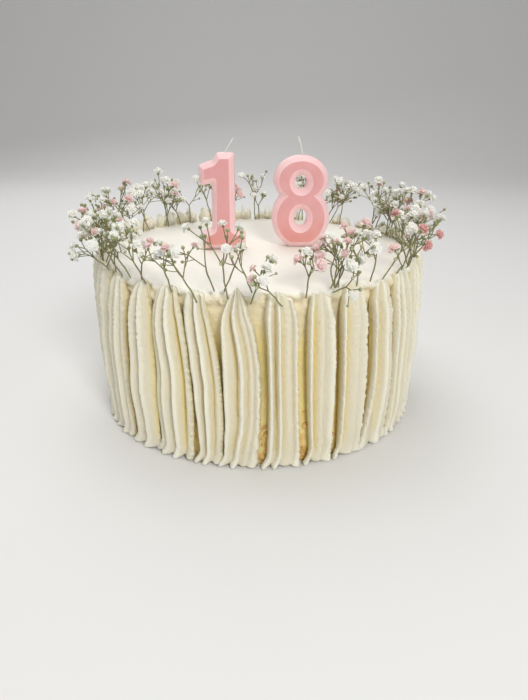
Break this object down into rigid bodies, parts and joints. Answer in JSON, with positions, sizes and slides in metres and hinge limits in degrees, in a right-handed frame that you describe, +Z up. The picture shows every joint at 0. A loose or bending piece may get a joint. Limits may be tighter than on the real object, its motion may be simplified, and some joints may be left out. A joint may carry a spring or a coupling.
{
  "type": "birthday cake with digit candles",
  "caption": "Round cream cake with tall piped strokes round its side, digit candles on top and a ring of tiny flower sprigs.",
  "frame": {"origin": "centre of the cake's flat base, on the surface it stands on", "axes": "+Z up along the cake's axis, -Y towards the side that the digits face, +X to the right seen from there"},
  "size_m": [0.2499, 0.2473, 0.183],
  "materials": {
    "cake_coat": "smooth peach-cream top, golden crumb coat in the gaps",
    "piped_cream": "soft ivory whipped cream, piped in ridges",
    "pink_wax": "soft pink wax, paler on its bevels",
    "wick_cotton": "white twisted cotton",
    "flower_sprigs": "thin green stems with white, pink and rose blossoms"
  },
  "bodies": {
    "root": {"cake": "cake_coat", "stroke_01": "piped_cream", "stroke_02": "piped_cream", "stroke_03": "piped_cream", "stroke_04": "piped_cream", "stroke_05": "piped_cream", "stroke_06": "piped_cream", "stroke_07": "piped_cream", "stroke_08": "piped_cream", "stroke_09": "piped_cream", "stroke_10": "piped_cream", "stroke_11": "piped_cream", "stroke_12": "piped_cream", "stroke_13": "piped_cream", "stroke_14": "piped_cream", "stroke_15": "piped_cream", "stroke_16": "piped_cream", "stroke_17": "piped_cream", "stroke_18": "piped_cream", "stroke_19": "piped_cream", "stroke_20": "piped_cream", "stroke_21": "piped_cream", "stroke_22": "piped_cream", "stroke_23": "piped_cream", "stroke_24": "piped_cream", "stroke_25": "piped_cream", "stroke_26": "piped_cream", "stroke_27": "piped_cream", "stroke_28": "piped_cream", "stroke_29": "piped_cream", "stroke_30": "piped_cream", "candle_one": "pink_wax", "candle_eight": "pink_wax", "wick_one": "wick_cotton", "wick_eight": "wick_cotton", "sprig_01": "flower_sprigs", "sprig_02": "flower_sprigs", "sprig_03": "flower_sprigs", "sprig_04": "flower_sprigs", "sprig_05": "flower_sprigs", "sprig_06": "flower_sprigs", "sprig_07": "flower_sprigs", "sprig_08": "flower_sprigs", "sprig_09": "flower_sprigs", "sprig_10": "flower_sprigs", "sprig_11": "flower_sprigs", "sprig_12": "flower_sprigs", "sprig_13": "flower_sprigs", "sprig_14": "flower_sprigs", "sprig_15": "flower_sprigs", "sprig_16": "flower_sprigs", "sprig_17": "flower_sprigs", "sprig_18": "flower_sprigs", "sprig_19": "flower_sprigs", "sprig_20": "flower_sprigs", "sprig_21": "flower_sprigs", "sprig_22": "flower_sprigs", "sprig_23": "flower_sprigs", "sprig_24": "flower_sprigs", "sprig_25": "flower_sprigs"}
  },
  "joints": []
}
